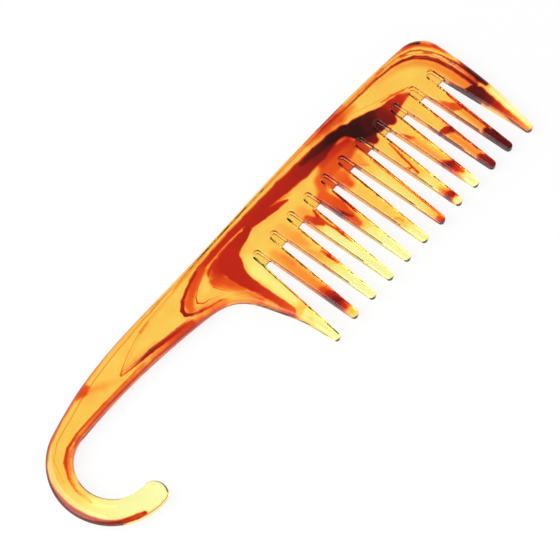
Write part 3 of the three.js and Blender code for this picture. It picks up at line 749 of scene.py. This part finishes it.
def make_hook():
    """A straight bar whose section goes from flat to round, bridged, closed and bent to the hook."""
    middle_radius = hook_inner_radius + hook_width / 2
    start_angle = 90 + hook_tangent_angle
    turn = math.radians(hook_end_angle - start_angle)
    length = middle_radius * turn
    places = [share * length for share in hook_station_shares]
    loops = [section_loop(place, index >= hook_flat_stations) for index, place in enumerate(places)]
    pick(*loops)
    bpy.ops.object.join()
    bar = bpy.context.object
    bar.name = "hook"
    bpy.ops.object.mode_set(mode="EDIT")
    for low, high in zip(places, places[1:]):
        select_between(bar, low - mesh_slack, high + mesh_slack)
        cuts = round((high - low) / hook_ring_spacing)
        bpy.ops.mesh.bridge_edge_loops(number_cuts=cuts, interpolation="LINEAR")
    select_between(bar, -mesh_slack, mesh_slack)
    bpy.ops.mesh.edge_face_add()
    select_between(bar, length - mesh_slack, length + mesh_slack)
    round_the_end()
    bpy.ops.mesh.select_all(action="SELECT")
    bpy.ops.mesh.normals_make_consistent(inside=False)
    bpy.ops.object.mode_set(mode="OBJECT")
    bar.rotation_euler = (math.pi / 2, 0, math.pi / 2)
    bpy.ops.object.transform_apply(location=True, rotation=True, scale=True)
    straight_end = (0, length / (length + hook_tip_round * hook_tip_end_share))
    bend = {"deform_method": "BEND", "deform_axis": "Z", "angle": turn, "limits": straight_end}
    apply_modifier(bar, "SIMPLE_DEFORM", **bend)
    start = hook_centre + direction(start_angle) * middle_radius
    bar.location = start.to_3d()
    bar.rotation_euler = (0, 0, math.radians(start_angle + 90))
    bpy.ops.object.transform_apply(location=True, rotation=True, scale=True)
    return bar


def round_the_end():
    """In edit mode, close the selected end loop with a rounded cap along +Z."""
    advance_before = 0
    narrow_before = 1
    for step in range(1, tip_steps + 1):
        advance = hook_tip_end_share * step / tip_steps
        narrow = math.sqrt(1 - advance * advance)
        lift = (advance - advance_before) * hook_tip_round
        bpy.ops.mesh.extrude_region_move(TRANSFORM_OT_translate={"value": (0, 0, lift)})
        ratio = narrow / narrow_before
        bpy.ops.transform.resize(value=(ratio, ratio, 1), center_override=(0, 0, 0))
        advance_before = advance
        narrow_before = narrow
    bpy.ops.mesh.edge_face_add()


def face_cutters(name, outline, slope, depth, core_thickness, steps):
    """Cutters over both faces that leave a core, with sloping or hollowed walls."""
    steepness = depth / slope
    cutter = traced_plate(name, outline, (overrun + depth) / steepness, slope, steps)
    pick(cutter)
    bpy.ops.transform.resize(value=(1, 1, steepness), center_override=(0, 0, 0))
    bpy.ops.transform.translate(value=(0, 0, (overrun + depth + core_thickness) / 2))
    bpy.ops.object.transform_apply(location=True, rotation=True, scale=True)
    bpy.ops.object.duplicate()
    lower = bpy.context.object
    bpy.ops.transform.resize(value=(1, 1, -1), center_override=(0, 0, 0))
    bpy.ops.object.transform_apply(location=True, rotation=True, scale=True)
    pick(cutter, lower)
    bpy.ops.object.join()
    both = bpy.context.object
    bpy.ops.object.mode_set(mode="EDIT")
    bpy.ops.mesh.select_all(action="SELECT")
    bpy.ops.mesh.normals_make_consistent(inside=False)
    bpy.ops.object.mode_set(mode="OBJECT")
    return both


def recess_outline():
    """The panel: it follows the spine, rounds the front corner and ends in a point on the handle."""
    front = front_guard_root_width - recess_front_inset
    foot = -inner_tooth_length / 2
    centre_height = corner_height + corner_radius - recess_spine_inset - recess_corner_radius
    centre = Vector((front - recess_corner_radius, centre_height))
    corner = arc(centre, recess_corner_radius, 90 - spine_fall_angle, 0)
    point = Vector((handle_joint - recess_point_distance, recess_point_height))
    upper_joint = Vector((handle_joint, spine_rear_height - recess_joint_inset))
    lower_joint = Vector((handle_joint, shoulder_rise + recess_flare_inset))
    crown = Vector((spine_crown.x, spine_crown_height - recess_spine_inset))
    knee_inset = Vector((knee.x + recess_flare_inset, foot))
    back_angle = 180 - shoulder_fall_angle
    return [
        flow(point, recess_point_opening, upper_joint, shoulder_fall_angle),
        flow(upper_joint, shoulder_fall_angle, crown, 0),
        flow(crown, 0, corner[0][0], -spine_fall_angle),
        *corner,
        line(corner[-1][-1], (front, foot)),
        line((front, foot), knee_inset),
        flow(knee_inset, 90 + rear_guard_knee_lean, lower_joint, back_angle, flare_share),
        flow(lower_joint, back_angle, point, back_angle),
    ]


def pocket_outline():
    """A round-topped pocket over the gap at x = 0, open below the roots."""
    mouth = pocket_mouth_width / 2
    top = arc((0, pocket_height - pocket_top_width / 2), pocket_top_width / 2, 0, 180)
    return [
        line((-mouth, -overrun), (mouth, -overrun)),
        line((mouth, -overrun), (mouth, 0)),
        line((mouth, 0), top[0][0]),
        *top,
        line(top[-1][-1], (-mouth, 0)),
        line((-mouth, 0), (-mouth, -overrun)),
    ]


def cut_away(obj, cutter):
    apply_modifier(obj, "BOOLEAN", operation="DIFFERENCE", solver="EXACT", object=cutter)
    bpy.data.objects.remove(cutter)


def fine_skin(obj):
    """Blend overlapping pieces into one closed skin with soft corners."""
    apply_modifier(obj, "REMESH", mode="VOXEL", voxel_size=skin_grain)
    apply_modifier(obj, "SMOOTH", factor=skin_smooth_share, iterations=skin_smooth_turns)
    apply_modifier(obj, "DECIMATE", ratio=skin_triangle_share)
    bpy.ops.object.shade_smooth()
    apply_modifier(obj, "WEIGHTED_NORMAL", mode="FACE_AREA_WITH_ANGLE")


def bring_to_place(obj, cad_box):
    """Millimetres to metres, and the middle of the piece to the middle of the CAD model. Gives the
    shift in metres."""
    pick(obj)
    bpy.ops.transform.resize(value=(metres, metres, metres * box_share), center_override=(0, 0, 0))
    bpy.ops.object.transform_apply(location=True, rotation=True, scale=True)
    corners = [Vector(corner) for corner in obj.bound_box]
    middle = sum(corners, Vector()) / len(corners)
    shift = (cad_box[0] + cad_box[1]) / 2 - middle
    bpy.ops.transform.translate(value=shift)
    bpy.ops.object.transform_apply(location=True, rotation=True, scale=True)
    return shift


def make_comb(cad_box):
    """The whole moulding: cut the plate, add teeth, webs and hook, and blend all into one fine skin."""
    comb = make_blank()
    recess_core = plate_thickness - 2 * recess_depth
    recess = face_cutters("recess", recess_outline(), recess_slope, recess_depth, recess_core, edge_steps)
    cut_away(comb, recess)
    pocket_depth = (plate_thickness - web_thickness) / 2
    pocket = face_cutters("pocket", pocket_outline(), pocket_draft, pocket_depth, web_thickness, 0)
    gaps = [gap_centre(index) for index in range(inner_tooth_count + 1)]
    cut_away(comb, row_of(pocket, [(x, root_height(x)) for x in gaps]))
    teeth = row_of(make_tooth(), [(x - tooth_pitch / 2, 0) for x in gaps[:-1]])
    webs = traced_plate("webs", web_outline(), web_thickness, web_edge)
    pick(teeth, webs, make_hook(), comb)
    bpy.ops.object.join()
    fine_skin(comb)
    return comb, bring_to_place(comb, cad_box)


def linear_colour(hex_colour):
    """An sRGB hex colour as linear RGBA."""
    shares = [int(hex_colour[start:start + 2], 16) / 255 for start in (1, 3, 5)]
    linear = [share / 12.92 if share <= 0.04045 else ((share + 0.055) / 1.055) ** 2.4 for share in shares]
    return linear + [1]


def add_node(tree, kind, settings, links):
    """One node with its settings, which are properties or input values, and its inputs' links."""
    node = tree.nodes.new(kind)
    for key, value in settings.items():
        if isinstance(key, str) and hasattr(node, key):
            setattr(node, key, value)
        else:
            node.inputs[key].default_value = value
    for key, source in links.items():
        tree.links.new(source, node.inputs[key])
    return node


def new_material(name):
    """An empty node material and its tree."""
    material = bpy.data.materials.new(name)
    material.use_nodes = True
    material.node_tree.nodes.clear()
    return material, material.node_tree


def dye_stroke_group():
    """Node group that lays one stretch of a stroke, a tapered streak with round ends, over the dye so
    far. The dye travels with the place on the plan, as its third number."""
    group = bpy.data.node_groups.new("dye_stroke", "ShaderNodeTree")
    sockets = {
        "Plan": "Vector", "Start": "Vector", "Run": "Vector", "Back": "Vector", "Softness": "Float",
        "Start Width": "Float", "End Width": "Float", "Start Dye": "Float", "End Dye": "Float",
    }
    for name, kind in sockets.items():
        group.interface.new_socket(name, in_out="INPUT", socket_type="NodeSocket" + kind)
    group.interface.new_socket("Plan", in_out="OUTPUT", socket_type="NodeSocketVector")
    given = group.nodes.new("NodeGroupInput").outputs
    parts = add_node(group, "ShaderNodeSeparateXYZ", {}, {"Vector": given["Plan"]}).outputs
    away = add_node(group, "ShaderNodeVectorMath", {"operation": "MULTIPLY_ADD", 1: (-1, -1, 0)}, {
        0: given["Plan"], 2: given["Start"]}).outputs["Vector"]
    along = add_node(group, "ShaderNodeVectorMath", {"operation": "DOT_PRODUCT"}, {
        0: away, 1: given["Back"]})
    share = add_node(group, "ShaderNodeClamp", {}, {"Value": along.outputs["Value"]}).outputs["Result"]
    nearest = add_node(group, "ShaderNodeVectorMath", {"operation": "MULTIPLY_ADD"}, {
        0: given["Run"], 1: share, 2: away})
    distance = add_node(group, "ShaderNodeVectorMath", {"operation": "LENGTH"}, {
        0: nearest.outputs["Vector"]})
    width = add_node(group, "ShaderNodeMapRange", {}, {
        "Value": share, "To Min": given["Start Width"], "To Max": given["End Width"]})
    level = add_node(group, "ShaderNodeMapRange", {}, {
        "Value": share, "To Min": given["Start Dye"], "To Max": given["End Dye"]})
    outside = add_node(group, "ShaderNodeMath", {"operation": "SUBTRACT"}, {
        0: distance.outputs["Value"], 1: width.outputs["Result"]})
    softened = add_node(group, "ShaderNodeMath", {"operation": "DIVIDE"}, {
        0: outside.outputs["Value"], 1: given["Softness"]})
    cover = add_node(group, "ShaderNodeMapRange", {
        "interpolation_type": "SMOOTHSTEP", "From Min": 1, "From Max": -1}, {
        "Value": softened.outputs["Value"]})
    mixed = add_node(group, "ShaderNodeMix", {"data_type": "FLOAT"}, {
        "Factor": cover.outputs["Result"], "A": parts["Z"], "B": level.outputs["Result"]})
    joined = add_node(group, "ShaderNodeCombineXYZ", {}, {
        "X": parts["X"], "Y": parts["Y"], "Z": mixed.outputs["Result"]})
    result = group.nodes.new("NodeGroupOutput")
    group.links.new(joined.outputs["Vector"], result.inputs["Plan"])
    return group


def stretches_near(low, high):
    """The stretches of all strokes that reach a box on the plan, as softness, start and end."""
    near = []
    for softness, points in dye_and_shade_strokes:
        for start, end in zip(points, points[1:]):
            reach = softness + max(start[2], end[2]) + region_margin
            sides = zip(start, end, low, high)
            if all(min(a, b) - reach < most and max(a, b) + reach > least for a, b, least, most in sides):
                near.append((softness, start, end))
    return near


def lay_strokes(tree, plan, group, stretches):
    """Paint stretches of strokes over the dye so far, one after another."""
    for softness, start, end in stretches:
        run = Vector((end[0] - start[0], end[1] - start[1], 0))
        stretch = add_node(tree, "ShaderNodeGroup", {"node_tree": group}, {"Plan": plan})
        values = {"Start": (start[0], start[1], 0), "Run": run, "Back": -run / run.length_squared,
                  "Start Width": start[2], "End Width": end[2], "Start Dye": start[3], "End Dye": end[3],
                  "Softness": softness}
        for name, value in values.items():
            stretch.inputs[name].default_value = value
        plan = stretch.outputs["Plan"]
    return plan


def dye_plan(tree, shift):
    """The place on the plan where the strokes are drawn, from the comb's own coordinates. The dye
    sheets stand at a slant through the thickness, and their edges waver."""
    own = add_node(tree, "ShaderNodeTexCoord", {}, {})
    plan_shift = -shift / metres - Vector(plan_origin)
    drawn = add_node(tree, "ShaderNodeMapping", {"Location": plan_shift, "Scale": [1 / metres] * 3}, {
        "Vector": own.outputs["Object"]})
    parts = add_node(tree, "ShaderNodeSeparateXYZ", {}, {"Vector": drawn.outputs["Vector"]})
    slanted = add_node(tree, "ShaderNodeVectorMath", {"operation": "MULTIPLY_ADD", 0: sheet_slant_shares}, {
        1: parts.outputs["Z"], 2: drawn.outputs["Vector"]})
    place = slanted.outputs["Vector"]
    for size, reach in wavers:
        noise = add_node(tree, "ShaderNodeTexNoise", {"Scale": 1 / size, "Detail": waver_detail}, {
            "Vector": place})
        offset = add_node(tree, "ShaderNodeVectorMath", {
            "operation": "SUBTRACT", 1: [noise_middle_share] * 3}, {0: noise.outputs["Color"]})
        swing = [2 * reach, 2 * reach, 0]
        place = add_node(tree, "ShaderNodeVectorMath", {"operation": "MULTIPLY_ADD", 1: swing}, {
            0: offset.outputs["Vector"], 2: place}).outputs["Vector"]
    return place


def tortoiseshell_plastic(region, shift, group, stretches):
    """Clear acetate, injection moulded with dark pellets that smeared as the mould filled, and
    polished. The eye sees light through amber, orange, red and maroon swirls. The edges and walls get
    painted shade: dye is added where their faces tilt, so they render darker. Each region of the comb holds
    its own strokes."""
    material, tree = new_material("moulded_tortoiseshell_acetate_" + region)
    place = dye_plan(tree, shift)
    base = add_node(tree, "ShaderNodeTexNoise", {"Scale": 1 / mottle_size, "Detail": mottle_detail}, {
        "Vector": place})
    clear = add_node(tree, "ShaderNodeMapRange", {"To Min": mottle_shares[0], "To Max": mottle_shares[1]}, {
        "Value": base.outputs["Fac"]})
    sides = add_node(tree, "ShaderNodeSeparateXYZ", {}, {"Vector": place}).outputs
    ground = add_node(tree, "ShaderNodeCombineXYZ", {}, {
        "X": sides["X"], "Y": sides["Y"], "Z": clear.outputs["Result"]})
    painted = lay_strokes(tree, ground.outputs["Vector"], group, stretches)
    dye = add_node(tree, "ShaderNodeSeparateXYZ", {}, {"Vector": painted}).outputs["Z"]
    # Painted shade: the more a face tilts away from flat, the more dye it gets, so rounded edges and walls
    # render darker.
    surface = add_node(tree, "ShaderNodeNewGeometry", {}, {})
    parts = add_node(tree, "ShaderNodeSeparateXYZ", {}, {"Vector": surface.outputs["Normal"]})
    upright = add_node(tree, "ShaderNodeMath", {"operation": "ABSOLUTE"}, {0: parts.outputs["Z"]})
    edge = add_node(tree, "ShaderNodeMapRange", {
        "interpolation_type": "SMOOTHSTEP", "From Min": shade_start_share, "From Max": shade_full_share}, {
        "Value": upright.outputs["Value"]})
    painted_edge_shade = add_node(tree, "ShaderNodeMath", {
        "operation": "MULTIPLY_ADD", 1: shade_gain_share, 2: shade_least_share}, {0: dye})
    dye_and_edge_shade = add_node(tree, "ShaderNodeMath", {"operation": "MULTIPLY_ADD"}, {
        0: edge.outputs["Result"], 1: painted_edge_shade.outputs["Value"], 2: dye})
    ramp = add_node(tree, "ShaderNodeValToRGB", {}, {"Fac": dye_and_edge_shade.outputs["Value"]})
    stops = ramp.color_ramp.elements
    stops.remove(stops[-1])
    for position, colour in dye_colours:
        stop = stops.new(position) if position else stops[0]
        stop.color = linear_colour(colour)
    shader = add_node(tree, "ShaderNodeBsdfPrincipled", {
        "Roughness": plastic_roughness, "IOR": plastic_ior, "Specular IOR Level": plastic_gloss_share,
        "Transmission Weight": 1}, {
        "Base Color": ramp.outputs["Color"]})
    add_node(tree, "ShaderNodeOutputMaterial", {}, {"Surface": shader.outputs["BSDF"]})
    return material


def dye_comb(comb, shift):
    """One plastic for each region of the comb, given to the faces whose middle lies there."""
    group = dye_stroke_group()
    for name, low, high in dye_regions:
        comb.data.materials.append(tortoiseshell_plastic(name, shift, group, stretches_near(low, high)))
    pick(comb)
    for index, (name, low, high) in enumerate(dye_regions):
        bpy.ops.object.mode_set(mode="EDIT")
        bpy.ops.mesh.select_mode(type="FACE")
        bpy.ops.mesh.select_all(action="DESELECT")
        bpy.ops.object.mode_set(mode="OBJECT")
        for face in comb.data.polygons:
            place = (face.center - shift) / metres - Vector(plan_origin)
            face.select = low[0] <= place.x < high[0] and low[1] <= place.y < high[1]
        bpy.ops.object.mode_set(mode="EDIT")
        comb.active_material_index = index
        bpy.ops.object.material_slot_assign()
        bpy.ops.object.mode_set(mode="OBJECT")


def seen_directly(tree):
    """1 for what the camera sees, also in reflections and through clear plastic."""
    path = add_node(tree, "ShaderNodeLightPath", {}, {}).outputs
    first = add_node(tree, "ShaderNodeMath", {"operation": "MAXIMUM"}, {
        0: path["Is Camera Ray"], 1: path["Is Glossy Ray"]})
    return add_node(tree, "ShaderNodeMath", {"operation": "MAXIMUM"}, {
        0: first.outputs["Value"], 1: path["Is Transmission Ray"]}).outputs["Value"]


def make_floor():
    """White paper that keeps a faint shadow of the comb."""
    deselect()
    bpy.ops.mesh.primitive_plane_add(size=floor_size, location=(0, 0, -floor_drop))
    floor = bpy.context.object
    floor.name = "floor"
    material, tree = new_material("white_studio_paper")
    share = add_node(tree, "ShaderNodeMath", {"operation": "MULTIPLY", 1: paper_glow_share}, {
        0: seen_directly(tree)})
    paper = add_node(tree, "ShaderNodeBsdfDiffuse", {"Color": linear_colour(paper_white)}, {})
    glow = add_node(tree, "ShaderNodeEmission", {"Color": linear_colour(paper_white), "Strength": 1}, {})
    mixed = add_node(tree, "ShaderNodeMixShader", {}, {
        0: share.outputs["Value"], 1: paper.outputs["BSDF"], 2: glow.outputs["Emission"]})
    add_node(tree, "ShaderNodeOutputMaterial", {}, {"Surface": mixed.outputs["Shader"]})
    floor.data.materials.append(material)


def make_lights():
    """A studio with white walls and a dim ceiling, and one large soft lamp."""
    world = bpy.data.worlds.new("studio")
    bpy.context.scene.world = world
    world.use_nodes = True
    tree = world.node_tree
    tree.nodes.clear()
    way = add_node(tree, "ShaderNodeTexCoord", {}, {})
    parts = add_node(tree, "ShaderNodeSeparateXYZ", {}, {"Vector": way.outputs["Generated"]})
    brightness = add_node(tree, "ShaderNodeMapRange", {
        "interpolation_type": "SMOOTHSTEP", "From Min": horizon_top_share, "From Max": overhead_bottom_share,
        "To Min": horizon_strength, "To Max": overhead_strength}, {"Value": parts.outputs["Z"]})
    path = add_node(tree, "ShaderNodeLightPath", {}, {}).outputs
    seen_through = add_node(tree, "ShaderNodeMath", {"operation": "MAXIMUM"}, {
        0: path["Is Camera Ray"], 1: path["Is Transmission Ray"]})
    strength = add_node(tree, "ShaderNodeMix", {"data_type": "FLOAT", "B": 1}, {
        "Factor": seen_through.outputs["Value"], "A": brightness.outputs["Result"]})
    light = add_node(tree, "ShaderNodeBackground", {"Color": linear_colour(paper_white)}, {
        "Strength": strength.outputs["Result"]})
    add_node(tree, "ShaderNodeOutputWorld", {}, {"Surface": light.outputs["Background"]})
    deselect()
    place = Vector(lamp_place)
    bpy.ops.object.light_add(type="AREA", location=place, rotation=place.to_track_quat("Z", "Y").to_euler())
    lamp = bpy.context.object.data
    lamp.size = lamp_size
    lamp.energy = lamp_power


def make_camera():
    """Level camera at the photograph's angle."""
    tilt = math.radians(90 - camera_elevation)
    turn = math.radians(camera_azimuth)
    away = Vector((math.sin(turn) * math.sin(tilt), -math.cos(turn) * math.sin(tilt), math.cos(tilt)))
    place = Vector(camera_target) + away * camera_distance
    deselect()
    bpy.ops.object.camera_add(location=place * metres, rotation=(tilt, 0, turn))
    camera = bpy.context.object
    camera.data.lens = camera_lens
    camera.data.sensor_width = camera_sensor
    bpy.context.scene.camera = camera


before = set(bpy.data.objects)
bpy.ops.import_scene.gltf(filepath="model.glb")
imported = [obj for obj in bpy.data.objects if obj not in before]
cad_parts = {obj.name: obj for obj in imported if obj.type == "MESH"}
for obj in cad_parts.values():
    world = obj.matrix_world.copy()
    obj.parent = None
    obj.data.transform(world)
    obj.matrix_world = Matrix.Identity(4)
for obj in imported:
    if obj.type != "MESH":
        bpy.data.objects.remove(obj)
cad_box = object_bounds()
comb, comb_shift = make_comb(cad_box)
dye_comb(comb, comb_shift)
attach(comb, "root")
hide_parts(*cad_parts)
make_floor()
make_lights()
make_camera()
bpy.context.scene.view_settings.view_transform = "Standard"
